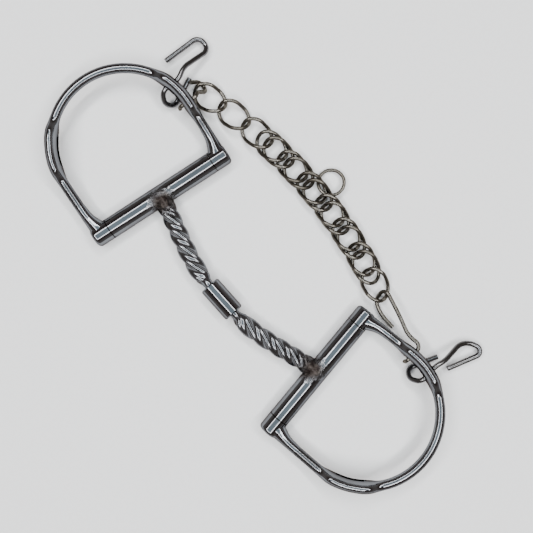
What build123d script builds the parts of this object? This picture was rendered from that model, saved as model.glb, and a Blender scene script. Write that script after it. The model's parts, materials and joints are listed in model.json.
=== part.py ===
from build123d import *
from math import cos, degrees, pi, radians, sin, tan
import copy
import os

# Curb bit with dee cheeks, lying on a table. Millimetres, +Z up.
# X runs along the mouthpiece from the left cheek to the right cheek, and +Y
# points to the curb chain. The origin is under the middle of the whole object.

# mouthpiece
MOUTH_WIDTH = 127.0  # clear width between the two sleeves
SLEEVE_D = 12.6
SLEEVE_LENGTH = 71.8
AXIS_SPAN = MOUTH_WIDTH + SLEEVE_D  # between the two hinge axes
AXIS_HEIGHT = 6.45  # of the hinge axes and the mouthpiece above the table
CHEEK_SPLAY = 8.7  # each hinge axis leans inward at the chain side
ARCH = 13.8  # the centre barrel lies this far behind the hinge axes
BARREL_D = 12.8
BARREL_LENGTH = 22.0
BARREL_CHAMFER = 0.7
SHANK_D = 5.6  # plain end of an arm, inside the barrel
RUN_FIT = 0.06  # radial clearance where one piece turns on another
TWIST_D = 11.0  # across the ridges of an arm
TWIST_GROOVE = 1.5  # depth of the grooves between the ridges
TWIST_RIDGES = 4
BARREL_LEAD = 54.0  # length of one full turn of a ridge, next to the barrel
SLEEVE_LEAD = 33.0  # the same next to the sleeve, where the twist is tighter
TWIST_END = 18.5  # the ridges stop this far from the middle of the bit
TWIST_FADE = 5.0  # length over which they grow out of the sleeve
TWIST_STEPS = 36
SPINDLE_D = 2.8
SPINDLE_HEAD_D = 3.8
SPINDLE_HEAD = 1.0
SPINDLE_LENGTH = 17.0
PIN_D = 5.0
PIN_SEAT = 8.0  # the pin enters each knuckle this far
PRESS_GAP = 0.01

# dee cheeks
ROD_D = 5.8
CHEEK_WIDTH = 93.6  # along the hinge axis, over both knuckles
DEE_RADIUS = CHEEK_WIDTH / 2 - ROD_D / 2 - 0.3  # centre line of the round part
SIDE_LENGTH = 36.0  # straight side, from the hinge axis to the round part
DEE_LENGTH = 2 * SIDE_LENGTH + pi * DEE_RADIUS  # whole centre line of the dee
KNUCKLE_LENGTH = (CHEEK_WIDTH - SLEEVE_LENGTH) / 2
KNUCKLE_ROUND = 2.2
FLARE = ((0.0, 10.4, 11.4), (5.0, 10.0, 10.4), (10.0, 7.6, 8.6), (15.0, 6.3, 7.0), (20.0, 5.9, 5.9))
ROD_INTO_FLARE = 8.0
PAD_HEIGHT = 15.0  # of a slotted shoulder, across both rails
PAD_THICK = 7.6
PAD_FOOT_D = 5.9  # a pad's foot is a little fatter than the rod
ROD_INTO_PAD = 5.5
SLOT_HEIGHT = 5.2
PAD_STATIONS = (1.0, 0.75, 0.5, 0.25, 0.0)  # sections of a pad's run-out
SLOT_ANGLES = {"chain": (-2.0, 25.0), "rein": (13.0, 40.0)}  # round the dee
PAD_RUN_OUT = 10.0  # from a slot's end to the plain rod
CHEEK_TILT = 6.0  # a cheek leans on its hooks, so its round side is raised

# curb chain
LINK_WIRE = 2.2
LINK_LENGTH = 22.4
LINK_WIDTH = 16.5
LINK_TWIST = 2.7  # height of the twist each way
PAIR_STEP = 5.5  # from the first link of a pair to the second
SINGLE_STEP = 17.6  # between single links
STATION_STEP = 17.25  # between pairs
SINGLES = 3
PAIRS = 6
CHAIN_RADIUS = 284.0  # the chain lies in a gentle curve
CHAIN_MIDDLE = (-19.8, 70.1)
CHAIN_HEIGHT = LINK_TWIST + LINK_WIRE / 2 + 0.05
FLY_RING_D = 17.5
FLY_RING_WIRE = 2.0
FLY_RING_PLACE = (-8.57, 81.03, 2.95)
FLY_RING_ROLL = -11.3
FLY_RING_PITCH = -1.2

# hooks
HOOK_WIRE = 3.0
CHAIN_HOOK_WIRE = 2.4


def left_cheek_frame():
    lay = Pos(-AXIS_SPAN / 2, 0, AXIS_HEIGHT) * Rot(0, 0, 90 - CHEEK_SPLAY)
    return lay * Rot(CHEEK_TILT, 0, 0)


def fillet_radii(points, share, closed):
    """The radius at each corner that uses up this share of its shorter run."""
    count = len(points)
    corners = range(count) if closed else range(1, count - 1)
    radii = []
    for i in corners:
        before = points[i] - points[i - 1]
        after = points[(i + 1) % count] - points[i]
        turn = radians(before.get_angle(after))
        radii.append(share * min(before.length, after.length) / tan(turn / 2))
    return radii


def wire_body(points, diameter, share=0.46, closed=False):
    """Round wire along straight runs joined by tangent arcs."""
    corners = [Vector(*p) for p in points]
    radii = fillet_radii(corners, share, closed)
    path = FilletPolyline(*corners, radius=radii, close=closed)
    start = Plane(origin=path @ 0, z_dir=path % 0)
    body = sweep(start * Circle(diameter / 2), path=path)
    return body


def ring_body(points, diameter, share=0.46):
    """Closed wire ring with half-turn symmetry about Z, from its corner points."""
    count = len(points)
    corners = [Vector(*p) for p in points]
    radii = fillet_radii(corners, share, True)[: count // 2]
    start = (corners[-1] + corners[0]) * 0.5
    end = (corners[count // 2 - 1] + corners[count // 2]) * 0.5
    path = FilletPolyline(start, *corners[: count // 2], end, radius=radii)
    half = sweep(Plane(origin=path @ 0, z_dir=path % 0) * Circle(diameter / 2), path=path)
    return half.fuse(half.rotate(Axis.Z, 180))


def link_corners(length, width, wire, twist, count=8):
    """Corners of a flat-lying twisted link, an oval that rises and falls twice."""
    half_length = (length - wire) / 2
    half_width = (width - wire) / 2
    grow = 1 / cos(pi / count)
    rise = twist / cos(2 * pi / count)
    points = []
    for i in range(count):
        t = 2 * pi * (i + 0.5) / count
        x = half_length * grow * cos(t)
        y = half_width * grow * sin(t)
        points.append((x, y, -rise * sin(2 * t)))
    return points


# ---- mouthpiece ------------------------------------------------------------


def along_x(radius, x_from, x_to):
    """Cylinder on the mouthpiece's own axis, which runs along X."""
    middle = Pos((x_from + x_to) / 2, -ARCH, AXIS_HEIGHT) * Rot(0, 90, 0)
    return middle * Cylinder(radius, abs(x_to - x_from))


def spindle():
    """Headed pin inside the barrel, on which both arms turn."""
    half = SPINDLE_LENGTH / 2
    body = along_x(SPINDLE_D / 2, -half, half)
    body += along_x(SPINDLE_HEAD_D / 2, -half, -half + SPINDLE_HEAD)
    body += along_x(SPINDLE_HEAD_D / 2, half - SPINDLE_HEAD, half)
    return body


def barrel():
    """Plain roller that covers the joint between the arms."""
    half = BARREL_LENGTH / 2
    body = along_x(BARREL_D / 2, -half, half)
    body = chamfer(body.edges(), BARREL_CHAMFER)
    return body - along_x(SHANK_D / 2 + RUN_FIT, -half, half)


def arm_path():
    """Centre line of the left arm, from its hinge axis to its shank."""
    slope = radians(CHEEK_SPLAY)
    start = Vector(-AXIS_SPAN / 2, 0, AXIS_HEIGHT)
    lead_out = start + Vector(cos(slope), -1.6 * sin(slope), 0) * 20
    end = Vector(-BARREL_LENGTH / 2 - 1.0, -ARCH, AXIS_HEIGHT)
    lead_in = end - Vector(18, 0, 0)
    return Bezier(start, lead_out, lead_in, end)


def ridge_profile(plane, radius, groove, turn):
    """Section of a twisted arm: rounded ridges with rounded grooves between."""
    part_turn = pi / TWIST_RIDGES

    def rim(angle):
        reach = radius - groove * (1 - cos(TWIST_RIDGES * angle)) / 2
        around = angle + turn
        return plane.from_local_coords((reach * cos(around), reach * sin(around), 0))

    edges = []
    for i in range(2 * TWIST_RIDGES):
        middle = i * part_turn
        before = rim(middle - part_turn / 2)
        after = rim(middle + part_turn / 2)
        edges.append(ThreePointArc(before, rim(middle), after))
    return Wire(edges)


def left_arm_bar():
    """The twisted bar of the left arm, plain at both ends."""
    path = arm_path()
    length = path.length
    neck = TWIST_END - BARREL_LENGTH / 2 - 1.0
    tighter = (1 / SLEEVE_LEAD - 1 / BARREL_LEAD) / (2 * length)
    sections = []
    for i in range(TWIST_STEPS + 1):
        at = i / TWIST_STEPS
        from_barrel = (1 - at) * length
        swell = min(1.0, from_barrel / neck)
        swell = swell * swell * (3 - 2 * swell)
        fade = min(1.0, max(0.0, (at * length - SLEEVE_D / 2) / TWIST_FADE))
        radius = (SHANK_D + (TWIST_D - SHANK_D) * swell) / 2
        groove = TWIST_GROOVE * swell * fade
        turn = 2 * pi * (from_barrel / BARREL_LEAD + tighter * from_barrel**2)
        plane = Plane(origin=path @ at, x_dir=(0, 0, 1), z_dir=path % at)
        sections.append(ridge_profile(plane, radius, groove, turn))
    return Solid.make_loft(sections)


def left_arm():
    """Hinge sleeve, twisted bar and shank of the left arm, in one piece."""
    across = Pos(-AXIS_SPAN / 2, 0, AXIS_HEIGHT) * Rot(0, 0, 90 - CHEEK_SPLAY) * Rot(0, 90, 0)
    sleeve = across * Cylinder(SLEEVE_D / 2, SLEEVE_LENGTH - 0.3)
    shank = along_x(SHANK_D / 2, -BARREL_LENGTH / 2 - 1.0, -0.2)
    body = sleeve + left_arm_bar() + shank
    body -= across * Cylinder(PIN_D / 2 + RUN_FIT, SLEEVE_LENGTH)
    half = SPINDLE_LENGTH / 2
    body -= along_x(SPINDLE_D / 2 + RUN_FIT, -half, 0)
    body -= along_x(SPINDLE_HEAD_D / 2 + RUN_FIT, -half - 0.2, -half + SPINDLE_HEAD + 0.2)
    return body


# ---- cheeks ----------------------------------------------------------------


def dee_at(run):
    """Place and heading on the dee's centre line, in the cheek's own plane.

    The run is measured from the hinge axis at the chain side, up and over.
    """
    if run <= SIDE_LENGTH:
        return Vector(DEE_RADIUS, run, 0), Vector(0, 1, 0)
    if run >= DEE_LENGTH - SIDE_LENGTH:
        return Vector(-DEE_RADIUS, DEE_LENGTH - run, 0), Vector(0, -1, 0)
    angle = (run - SIDE_LENGTH) / DEE_RADIUS
    place = Vector(DEE_RADIUS * cos(angle), SIDE_LENGTH + DEE_RADIUS * sin(angle), 0)
    return place, Vector(-sin(angle), cos(angle), 0)


def dee_line(start, end):
    """The dee's centre line between two runs."""
    first_bend = SIDE_LENGTH
    last_bend = DEE_LENGTH - SIDE_LENGTH
    edges = []
    if start < first_bend:
        edges.append(Line(dee_at(start)[0], dee_at(min(end, first_bend))[0]))
    low = max(start, first_bend)
    high = min(end, last_bend)
    if low < high:
        middle = dee_at((low + high) / 2)[0]
        edges.append(ThreePointArc(dee_at(low)[0], middle, dee_at(high)[0]))
    if end > last_bend:
        edges.append(Line(dee_at(max(start, last_bend))[0], dee_at(end)[0]))
    return Wire(edges)


def swept(section_face, line):
    start = Plane(origin=line @ 0, x_dir=(0, 0, 1), z_dir=line % 0)
    return sweep(start * section_face, path=line)


def slot_runs(side):
    """Where a slot starts and ends along the dee's centre line."""
    low, high = SLOT_ANGLES[side]
    start = SIDE_LENGTH + radians(low) * DEE_RADIUS
    end = SIDE_LENGTH + radians(high) * DEE_RADIUS
    if side == "rein":
        return DEE_LENGTH - end, DEE_LENGTH - start
    return start, end


def pad_runs(side):
    start, end = slot_runs(side)
    return start - PAD_RUN_OUT, end + PAD_RUN_OUT


def pad(side):
    """Slotted shoulder: the rod grows taller, then splits into two rails."""
    start, end = slot_runs(side)
    stations = [(start - PAD_RUN_OUT * share, share) for share in PAD_STATIONS]
    stations.append((start + (end - start) / 3, 0.0))
    stations.append((end - (end - start) / 3, 0.0))
    stations += [(end + PAD_RUN_OUT * share, share) for share in reversed(PAD_STATIONS)]
    outlines = []
    for place, share in stations:
        rise = 0.5 + 0.5 * cos(pi * share)
        height = PAD_FOOT_D + (PAD_HEIGHT - PAD_FOOT_D) * rise
        thick = PAD_FOOT_D + (PAD_THICK - PAD_FOOT_D) * rise
        centre, heading = dee_at(place)
        plane = Plane(origin=centre, x_dir=(0, 0, 1), z_dir=heading)
        outlines.append(plane * Ellipse(height / 2, thick / 2))
    return loft(outlines) - slot(side)


def slot(side):
    """Cutter for a strap slot, rounded at both ends."""
    start, end = slot_runs(side)
    inset = SLOT_HEIGHT / 2
    line = dee_line(start + inset, end - inset)
    cutter = swept(Rectangle(SLOT_HEIGHT, 4 * PAD_THICK), line)
    for run in (start + inset, end - inset):
        place, heading = dee_at(run)
        across = Plane(origin=place, x_dir=(0, 0, 1), z_dir=heading.cross(Vector(0, 0, 1)))
        cutter += across * Cylinder(inset, 4 * PAD_THICK)
    return cutter


def corner():
    """Chain-side corner: hinge knuckle and the flare that grows into the rod."""
    middle = (CHEEK_WIDTH - KNUCKLE_LENGTH) / 2
    body = Pos(middle, 0, 0) * Rot(0, 90, 0) * Cylinder(SLEEVE_D / 2, KNUCKLE_LENGTH)
    outer_rim = body.edges().filter_by(GeomType.CIRCLE).sort_by(Axis.X)[-1]
    body = fillet(outer_rim, KNUCKLE_ROUND)
    outer_side = DEE_RADIUS + FLARE[-1][1] / 2
    outlines = []
    for run, wide, thick in FLARE:
        plane = Plane(origin=(outer_side - wide / 2, run, 0), x_dir=(1, 0, 0), z_dir=(0, 1, 0))
        outlines.append(plane * Ellipse(wide / 2, thick / 2))
    body += loft(outlines)
    bore_start = (CHEEK_WIDTH / 2 - KNUCKLE_LENGTH, 0, 0)
    bore = Pos(*bore_start) * Rot(0, 90, 0) * Cylinder(PIN_D / 2 + PRESS_GAP, 2 * PIN_SEAT)
    return body - bore


def cheek():
    """Dee in its own plane: X along the hinge axis, Y outward, Z through it."""
    chain_start, chain_end = pad_runs("chain")
    rein_start, rein_end = pad_runs("rein")
    flare_end = FLARE[-1][0]
    rods = (
        (flare_end - ROD_INTO_FLARE, chain_start + ROD_INTO_PAD),
        (chain_end - ROD_INTO_PAD, rein_start + ROD_INTO_PAD),
        (rein_end - ROD_INTO_PAD, DEE_LENGTH - flare_end + ROD_INTO_FLARE),
    )
    body = corner() + mirror(corner(), about=Plane.YZ)
    for start, end in rods:
        body += swept(Circle(ROD_D / 2), dee_line(start, end))
    body += pad("chain")
    body += pad("rein")
    return body


def hinge_pin():
    """Pin held in both knuckles, on which the sleeve turns."""
    return Rot(0, 90, 0) * Cylinder(PIN_D / 2, SLEEVE_LENGTH + 2 * PIN_SEAT - 0.4)


# ---- curb chain ------------------------------------------------------------


def link_names():
    names = [f"chain_link_{i + 1}" for i in range(SINGLES)]
    for i in range(PAIRS):
        station = SINGLES + i + 1
        names += [f"chain_link_{station}a", f"chain_link_{station}b"]
    return names + [f"chain_link_{SINGLES + PAIRS + 1}"]


def link_runs():
    """Where each link lies along the chain."""
    gap = STATION_STEP - PAIR_STEP
    runs = [i * SINGLE_STEP for i in range(SINGLES)]
    for i in range(PAIRS):
        first = (SINGLES - 1) * SINGLE_STEP + gap + i * STATION_STEP
        runs += [first, first + PAIR_STEP]
    return runs + [runs[-1] + gap]


def chain_frame(run):
    """Frame on the chain's arc: X along the chain, Z up."""
    angle = (run - link_runs()[-1] / 2) / CHAIN_RADIUS
    x = CHAIN_MIDDLE[0] + CHAIN_RADIUS * sin(angle)
    y = CHAIN_MIDDLE[1] - CHAIN_RADIUS * (1 - cos(angle))
    return Pos(x, y, CHAIN_HEIGHT) * Rot(0, 0, -degrees(angle))


def chain_links():
    """Every link of the chain, all of one shape."""
    link = ring_body(link_corners(LINK_LENGTH, LINK_WIDTH, LINK_WIRE, LINK_TWIST), LINK_WIRE)
    return {name: chain_frame(run) * link for name, run in zip(link_names(), link_runs())}


def fly_ring():
    """Loose ring for the lip strap, through both links of the middle pair."""
    ring = ring_body(link_corners(FLY_RING_D, FLY_RING_D, FLY_RING_WIRE, 0), FLY_RING_WIRE)
    return Pos(*FLY_RING_PLACE) * Rot(0, FLY_RING_ROLL, 0) * Rot(FLY_RING_PITCH, 0, 0) * ring


# ---- hooks -----------------------------------------------------------------


def on_left_cheek(x, y, z):
    return (left_cheek_frame() * Pos(x, y, z)).position


def on_right_cheek(x, y, z):
    place = on_left_cheek(x, y, z)
    return Vector(-place.X, place.Y, place.Z)


def left_open_hook_corners():
    """Open curb hook in its cheek's plane, from its tip to its bent stub."""
    return [
        (45.8, 65.6, -9.4),
        (70.5, 67.3, -10.2),
        (71.5, 57.4, -9.6),
        (52.5, 55.6, -1.8),
        (46.0, 50.8, 0.0),
        (34.5, 50.4, 0.0),
        (31.4, 44.4, -5.2),
        (35.5, 40.5, -9.0),
        (52.4, 49.6, -9.5),
    ]


def right_open_hook_corners():
    """The other open hook, closed up so that its tip lies near its shank."""
    return [
        (50.6, 58.5, -9.0),
        (74.0, 70.5, -10.8),
        (70.0, 55.0, -9.6),
        (53.0, 53.2, -1.6),
        (46.5, 50.6, 0.0),
        (34.5, 50.4, 0.0),
        (31.4, 44.4, -5.2),
        (35.5, 40.5, -9.0),
        (52.4, 49.6, -9.5),
    ]


def left_open_hook():
    corners = [on_left_cheek(*place) for place in left_open_hook_corners()]
    return wire_body(corners, HOOK_WIRE)


def right_open_hook():
    corners = [on_right_cheek(*place) for place in right_open_hook_corners()]
    return wire_body(corners, HOOK_WIRE)


def left_chain_hook_corners():
    """Short hook that holds the chain's first link close to the left slot."""
    return [
        on_left_cheek(37.6, 37.0, -5.5),
        on_left_cheek(37.9, 37.0, 0.0),
        on_left_cheek(49.3, 37.2, 0.0),
        (-100.8, 57.0, 8.6),
        (-98.4, 61.7, 1.6),
        (-106.0, 63.0, 1.4),
        (-108.2, 57.8, 6.4),
    ]


def right_chain_hook_corners():
    """Long pear-shaped hook that holds the chain's last link."""
    return [
        on_right_cheek(37.6, 36.0, -5.5),
        on_right_cheek(37.9, 36.0, 0.0),
        on_right_cheek(51.0, 37.4, 0.0),
        (89.0, 54.0, 9.4),
        (78.0, 57.8, 9.2),
        (59.0, 63.0, 6.7),
        (61.8, 53.9, 0.3),
        (70.7, 50.8, 3.3),
        (80.5, 51.0, 3.2),
    ]


def left_chain_hook():
    return wire_body(left_chain_hook_corners(), CHAIN_HOOK_WIRE)


def right_chain_hook():
    return wire_body(right_chain_hook_corners(), CHAIN_HOOK_WIRE)


# ---- the whole bit ---------------------------------------------------------


def build():
    frame = left_cheek_frame()
    left = {
        "mouth_arm": left_arm(),
        "cheek": frame * cheek(),
        "hinge_pin": frame * hinge_pin(),
    }
    nodes = {"centre_spindle": spindle(), "centre_barrel": barrel()}
    for name, shape in left.items():
        nodes[f"left_{name}"] = shape
        nodes[f"right_{name}"] = mirror(shape, about=Plane.YZ)
    nodes["left_open_hook"] = left_open_hook()
    nodes["right_open_hook"] = right_open_hook()
    nodes["left_chain_hook"] = left_chain_hook()
    nodes["right_chain_hook"] = right_chain_hook()
    nodes.update(chain_links())
    nodes["fly_ring"] = fly_ring()
    return nodes


def to_origin(nodes):
    """Move that puts the origin under the middle of all the pieces."""
    box = Compound(children=[copy.copy(shape) for shape in nodes.values()]).bounding_box()
    centre = box.center()
    return Pos(-centre.X, -centre.Y, -box.min.Z)


def main():
    os.makedirs("parts", exist_ok=True)
    nodes = build()
    move = to_origin(nodes)
    for name, shape in nodes.items():
        export_step(move * shape, f"parts/{name}.step")


if __name__ == "__main__":
    main()
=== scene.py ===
"""Looks for the jointed curb bit: metals, floor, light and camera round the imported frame."""
import json
import math

import bpy
from mathutils import Matrix, Vector

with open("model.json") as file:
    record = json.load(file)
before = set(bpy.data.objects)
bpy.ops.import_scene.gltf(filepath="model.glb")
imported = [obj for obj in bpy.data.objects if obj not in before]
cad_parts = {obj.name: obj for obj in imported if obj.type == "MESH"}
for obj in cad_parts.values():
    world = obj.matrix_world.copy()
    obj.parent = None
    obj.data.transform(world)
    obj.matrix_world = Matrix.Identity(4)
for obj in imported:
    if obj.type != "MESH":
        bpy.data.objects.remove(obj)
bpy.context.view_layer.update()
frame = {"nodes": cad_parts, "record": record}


# ---- node helpers -----------------------------------------------------------


def new_material(name):
    material = bpy.data.materials.new(name)
    material.use_nodes = True
    tree = material.node_tree
    shader = tree.nodes["Principled BSDF"]
    return material, tree, shader


def node(tree, kind, **values):
    made = tree.nodes.new(kind)
    for key, value in values.items():
        setattr(made, key, value)
    return made


def noise(tree, coords, scale, detail=4.0, roughness=0.55):
    made = node(tree, "ShaderNodeTexNoise")
    made.inputs["Scale"].default_value = scale
    made.inputs["Detail"].default_value = detail
    made.inputs["Roughness"].default_value = roughness
    tree.links.new(coords, made.inputs["Vector"])
    return made.outputs["Fac"]


def ramp(tree, fac, stops, interpolation="LINEAR"):
    made = node(tree, "ShaderNodeValToRGB")
    made.color_ramp.interpolation = interpolation
    elements = made.color_ramp.elements
    while len(elements) < len(stops):
        elements.new(0.5)
    for element, (place, colour) in zip(elements, stops):
        element.position = place
        element.color = (*colour, 1.0)
    tree.links.new(fac, made.inputs["Fac"])
    return made.outputs["Color"]


def grey(value):
    return (value, value, value)


def mix_colour(tree, fac, first, second, blend="MIX"):
    made = node(tree, "ShaderNodeMix", data_type="RGBA", blend_type=blend)
    tree.links.new(fac, made.inputs[0])
    for value, socket in ((first, made.inputs[6]), (second, made.inputs[7])):
        if isinstance(value, tuple):
            socket.default_value = (*value, 1.0)
        else:
            tree.links.new(value, socket)
    return made.outputs[2]


def maths(tree, operation, first, second=0.0):
    made = node(tree, "ShaderNodeMath", operation=operation)
    for value, socket in ((first, made.inputs[0]), (second, made.inputs[1])):
        if isinstance(value, float):
            socket.default_value = value
        else:
            tree.links.new(value, socket)
    return made.outputs[0]


def bump(tree, height, strength, distance, under=None):
    made = node(tree, "ShaderNodeBump")
    made.inputs["Strength"].default_value = strength
    made.inputs["Distance"].default_value = distance
    tree.links.new(height, made.inputs["Height"])
    if under is not None:
        tree.links.new(under, made.inputs["Normal"])
    return made.outputs["Normal"]


def stretched(tree, coords, scale):
    """The same coordinates drawn out, for noise that runs in streaks."""
    made = node(tree, "ShaderNodeMapping")
    made.inputs["Scale"].default_value = scale
    tree.links.new(coords, made.inputs["Vector"])
    return made.outputs["Vector"]


# ---- metals -----------------------------------------------------------------

EDGE_TINT = (0.24, 0.21, 0.19, 1.0)  # of reflections at a glancing angle
HINGE_X = 0.0696  # middle of each hinge axis, either side
HINGE_Y = -0.0214
HINGE_LEAN = math.radians(8.7)
SLEEVE_HALF = 0.0359  # half the length of a hinge sleeve
SLEEVE_REACH = 0.0075  # just over the radius of a sleeve
SEAM_SHADOW_HALF = 0.00045  # half the width of the painted shadow line in the seam at a sleeve's end
BAR_END = 0.055  # the twisted bars lie between here and the middle
BAR_FADE = 0.006
BAR_DULLING = 0.09
WELD_X = 0.0655  # the bars are welded to their sleeves here, either side
WELD_Y = -0.0228
WELD_INNER = 0.0025
WELD_OUTER = 0.0105
WELD_RAGGED = 0.006
WELD_DULLING = 0.22
WELD_SOOT = (0.018, 0.013, 0.012)
WELD_METAL = (0.085, 0.073, 0.066)


def metal(name, bright, worn, dirt_and_shade, gloss, dull, wave=0.0, seam_shadowed=False, weld=False):
    """Plated metal: cloudy plate with worn patches and smudges, dirt specks, painted shade in
    creases and fine scratches.
    """
    material, tree, shader = new_material(name)
    coords = node(tree, "ShaderNodeTexCoord").outputs["Object"]
    clouds = noise(tree, coords, 55.0, 5.0)
    blotches = noise(tree, coords, 190.0, 6.0, 0.65)
    specks = noise(tree, coords, 900.0, 3.0, 0.7)
    hairs = noise(tree, stretched(tree, coords, (1.0, 0.12, 1.0)), 2600.0, 2.0, 0.6)
    hairs_across = noise(tree, stretched(tree, coords, (0.12, 1.0, 1.0)), 2300.0, 2.0, 0.6)
    scratches = maths(tree, "MAXIMUM", hairs, hairs_across)
    edges = node(tree, "ShaderNodeNewGeometry").outputs["Pointiness"]
    # painted shade: darker where the surface folds inward (low pointiness), in creases and
    # grooves; these places are also made rougher
    crease_shade = ramp(tree, edges, [(0.40, grey(1.0)), (0.485, grey(0.0))])
    patches = ramp(tree, clouds, [(0.35, bright), (0.68, worn)])
    smudges = ramp(tree, blotches, [(0.50, grey(0.0)), (0.72, grey(0.5))])
    smudged = mix_colour(tree, smudges, patches, worn)
    soiled = ramp(tree, specks, [(0.62, grey(0.0)), (0.76, grey(0.40))])
    plate = mix_colour(tree, soiled, smudged, dirt_and_shade)
    # painted shade in the creases, laid over the plate
    colour = mix_colour(tree, crease_shade, plate, dirt_and_shade)
    smooth = ramp(tree, clouds, [(0.30, grey(gloss)), (0.75, grey(dull))])
    smeared = maths(tree, "ADD", smooth, maths(tree, "MULTIPLY", crease_shade, 0.30))
    rough = maths(tree, "ADD", smeared, maths(tree, "MULTIPLY", soiled, 0.25))
    uneven = bump(tree, clouds, 0.35, 0.0006 * wave + 0.00008)
    normal = bump(tree, scratches, 0.06, 0.00002, uneven)
    if seam_shadowed:
        # painted shadow in the seams at both ends of each sleeve
        colour = mix_colour(tree, seam_shadow_line(tree, coords), colour, dirt_and_shade)
    if weld:
        seam = weld_mask(tree, coords)
        dulled = maths(tree, "MULTIPLY", bar_mask(tree, coords), BAR_DULLING)
        rough = maths(tree, "ADD", rough, dulled)
        lumps = noise(tree, coords, 420.0, 4.0, 0.6)
        scorched = ramp(tree, lumps, [(0.40, WELD_SOOT), (0.70, WELD_METAL)])
        colour = mix_colour(tree, seam, colour, scorched)
        rough = maths(tree, "ADD", rough, maths(tree, "MULTIPLY", seam, WELD_DULLING))
        heaps = maths(tree, "MULTIPLY", lumps, seam)
        normal = bump(tree, heaps, 0.9, 0.0014, normal)
    tree.links.new(colour, shader.inputs["Base Color"])
    tree.links.new(rough, shader.inputs["Roughness"])
    tree.links.new(normal, shader.inputs["Normal"])
    shader.inputs["Metallic"].default_value = 1.0
    shader.inputs["Specular Tint"].default_value = EDGE_TINT
    return material


def offset_from_axis(tree, across, along):
    """How far a point is from its sleeve's axis, seen from above."""
    back_across = maths(tree, "MULTIPLY", across, math.cos(HINGE_LEAN))
    back_along = maths(tree, "MULTIPLY", along, math.sin(HINGE_LEAN))
    return maths(tree, "SUBTRACT", back_across, back_along)


def seam_shadow_line(tree, coords):
    """Painted shadow: a dark line in the seam where a sleeve meets its knuckles."""
    parts = node(tree, "ShaderNodeSeparateXYZ")
    tree.links.new(coords, parts.inputs[0])
    across = maths(tree, "SUBTRACT", HINGE_X, maths(tree, "ABSOLUTE", parts.outputs["X"]))
    along = maths(tree, "SUBTRACT", parts.outputs["Y"], HINGE_Y)
    run_across = maths(tree, "MULTIPLY", across, math.sin(HINGE_LEAN))
    run_along = maths(tree, "MULTIPLY", along, math.cos(HINGE_LEAN))
    run = maths(tree, "ABSOLUTE", maths(tree, "ADD", run_across, run_along))
    away = maths(tree, "ABSOLUTE", maths(tree, "SUBTRACT", run, SLEEVE_HALF))
    scaled = maths(tree, "DIVIDE", away, SEAM_SHADOW_HALF)
    off_axis = maths(tree, "ABSOLUTE", offset_from_axis(tree, across, along))
    near_sleeve = maths(tree, "LESS_THAN", off_axis, SLEEVE_REACH)
    line = ramp(tree, scaled, [(0.45, grey(1.0)), (1.0, grey(0.0))])
    return maths(tree, "MULTIPLY", line, near_sleeve)


def bar_mask(tree, coords):
    """One on the twisted bars, which are rubbed duller than their sleeves."""
    parts = node(tree, "ShaderNodeSeparateXYZ")
    tree.links.new(coords, parts.inputs[0])
    beyond = maths(tree, "SUBTRACT", maths(tree, "ABSOLUTE", parts.outputs["X"]), BAR_END)
    scaled = maths(tree, "DIVIDE", beyond, BAR_FADE)
    return ramp(tree, scaled, [(0.0, grey(1.0)), (1.0, grey(0.0))])


def weld_mask(tree, coords):
    """One at the welds between bars and sleeves, fading out unevenly round them."""
    parts = node(tree, "ShaderNodeSeparateXYZ")
    tree.links.new(coords, parts.inputs[0])
    across = maths(tree, "SUBTRACT", maths(tree, "ABSOLUTE", parts.outputs["X"]), WELD_X)
    along = maths(tree, "SUBTRACT", parts.outputs["Y"], WELD_Y)
    across_squared = maths(tree, "MULTIPLY", across, across)
    along_squared = maths(tree, "MULTIPLY", along, along)
    away = maths(tree, "SQRT", maths(tree, "ADD", across_squared, along_squared))
    either_way = maths(tree, "SUBTRACT", noise(tree, coords, 260.0, 3.0), 0.5)
    reach = maths(tree, "ADD", away, maths(tree, "MULTIPLY", either_way, WELD_RAGGED))
    past_inner = maths(tree, "SUBTRACT", reach, WELD_INNER)
    scaled = maths(tree, "DIVIDE", past_inner, WELD_OUTER - WELD_INNER)
    return ramp(tree, scaled, [(0.0, grey(1.0)), (1.0, grey(0.0))], "EASE")


# each plate: bright colour, worn colour, colour of dirt specks and of painted shade in creases
# and seams, roughness where glossy and where dull
CHROME = ((0.175, 0.182, 0.194), (0.13, 0.132, 0.14), (0.028, 0.023, 0.020), 0.06, 0.13)
HOOK_PLATE = ((0.160, 0.160, 0.168), (0.105, 0.102, 0.100), (0.025, 0.022, 0.019), 0.12, 0.24)
NICKEL = ((0.165, 0.155, 0.138), (0.092, 0.083, 0.069), (0.020, 0.017, 0.013), 0.20, 0.36)
TURNED_STEEL = ((0.22, 0.22, 0.23), (0.16, 0.16, 0.16), (0.03, 0.027, 0.024), 0.20, 0.34)
MATERIALS = {
    "bit_metal": metal("chrome_plate", *CHROME, seam_shadowed=True),
    "arm_metal": metal("chrome_plate_welded", *CHROME, seam_shadowed=True, weld=True),
    "hook_metal": metal("hook_plate", *HOOK_PLATE, wave=0.2),
    "chain_metal": metal("chain_nickel", *NICKEL, wave=0.4),
    "pin_metal": metal("turned_steel", *TURNED_STEEL),
}
SLOT_OF = {entry["node"]: entry["material_slot"] for entry in frame["record"]["subparts"]}


def dress(obj, slot_name):
    obj.data.materials.clear()
    obj.data.materials.append(MATERIALS[slot_name])


for name, obj in frame["nodes"].items():
    dress(obj, "arm_metal" if name.endswith("mouth_arm") else SLOT_OF[name])


# ---- floor, light, camera ---------------------------------------------------

FLOOR_HALF = 3.0
FLOOR_GAP = 0.0002  # the floor is this far below the bit


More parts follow.
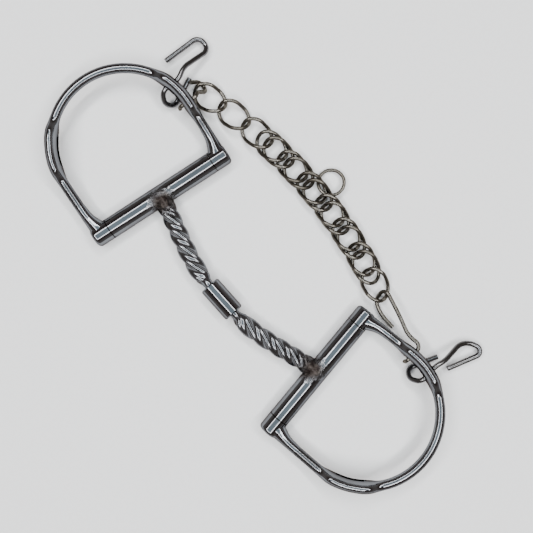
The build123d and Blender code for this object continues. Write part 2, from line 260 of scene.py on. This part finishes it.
def floor():
    mesh = bpy.data.meshes.new("floor")
    signs = ((-1, -1), (1, -1), (1, 1), (-1, 1))
    corners = [(x * FLOOR_HALF, y * FLOOR_HALF, 0) for x, y in signs]
    mesh.from_pydata(corners, [], [(0, 1, 2, 3)])
    obj = bpy.data.objects.new("floor", mesh)
    bpy.context.scene.collection.objects.link(obj)
    obj.location.z = -FLOOR_GAP
    material, tree, shader = new_material("floor_paper")
    coords = node(tree, "ShaderNodeTexCoord").outputs["Object"]
    fibres = noise(tree, coords, 420.0, 4.0)
    paper = ramp(tree, fibres, [(0.3, grey(0.95)), (0.7, grey(0.98))])
    tree.links.new(paper, shader.inputs["Base Color"])
    shader.inputs["Roughness"].default_value = 0.85
    mesh.materials.append(material)


def softbox(name, place, aim, width, height, power, colour=(1.0, 1.0, 1.0)):
    data = bpy.data.lights.new(name, "AREA")
    data.shape = "RECTANGLE"
    data.size = width
    data.size_y = height
    data.energy = power
    data.color = colour
    obj = bpy.data.objects.new(name, data)
    bpy.context.scene.collection.objects.link(obj)
    obj.location = place
    obj.rotation_euler = (Vector(aim) - Vector(place)).to_track_quat("-Z", "Y").to_euler()


ROOM_TONES = [  # by height, from the horizon up
    (0.00, (0.46, 0.43, 0.41)),
    (0.30, (0.36, 0.325, 0.305)),
    (0.58, (0.17, 0.140, 0.125)),
    (0.80, (0.11, 0.085, 0.078)),
]
PANEL_HEIGHT = 0.95
PANEL_HALF = 0.45
PANEL_POWER = 3.1
PANEL_COLOUR = (0.72, 0.90, 1.0)
RIM_WIDTH = 0.12
RIM_GLOW = 16.0  # radiance, the same all round the rim


def light():
    """A dim overhead panel inside a bright frame, in a room that is darker overhead."""
    world = bpy.data.worlds.new("studio")
    bpy.context.scene.world = world
    world.use_nodes = True
    tree = world.node_tree
    parts = node(tree, "ShaderNodeSeparateXYZ")
    tree.links.new(node(tree, "ShaderNodeTexCoord").outputs["Generated"], parts.inputs[0])
    room = ramp(tree, parts.outputs["Z"], ROOM_TONES)
    tree.links.new(room, tree.nodes["Background"].inputs["Color"])
    side = 2 * PANEL_HALF
    softbox("panel", (0, 0, PANEL_HEIGHT), (0, 0, 0), side, side, PANEL_POWER, PANEL_COLOUR)
    middle = PANEL_HALF + RIM_WIDTH / 2
    length = 2 * (PANEL_HALF + RIM_WIDTH)
    power = RIM_GLOW * math.pi * RIM_WIDTH * length
    for turn in range(4):
        out = Matrix.Rotation(math.radians(90 * turn), 3, "Z") @ Vector((middle, 0, PANEL_HEIGHT))
        size = (RIM_WIDTH, length) if turn % 2 == 0 else (length, RIM_WIDTH)
        softbox(f"rim_{turn}", out, (out.x, out.y, 0), *size, power)


SENSOR_WIDTH = 36.0
HALF_VIEW = math.radians(21.0)
CAMERA_PLACE = (0.0032, -0.0026, 0.418)
CAMERA_RIGHT = (0.66505, 0.74680, 0.0)  # the way that the picture's right side points
CAMERA_UP = (-0.74680, 0.66505, 0.0)


def camera():
    """Straight above the bit, turned so that it lies across the picture."""
    data = bpy.data.cameras.new("camera")
    data.sensor_width = SENSOR_WIDTH
    data.lens = SENSOR_WIDTH / 2 / math.tan(HALF_VIEW)
    obj = bpy.data.objects.new("camera", data)
    bpy.context.scene.collection.objects.link(obj)
    right = Vector(CAMERA_RIGHT)
    up = Vector(CAMERA_UP)
    back = right.cross(up)
    turn = Matrix((right, up, back)).transposed().to_4x4()
    obj.matrix_world = Matrix.Translation(CAMERA_PLACE) @ turn
    data.clip_start = 0.01
    bpy.context.scene.camera = obj


floor()
light()
camera()
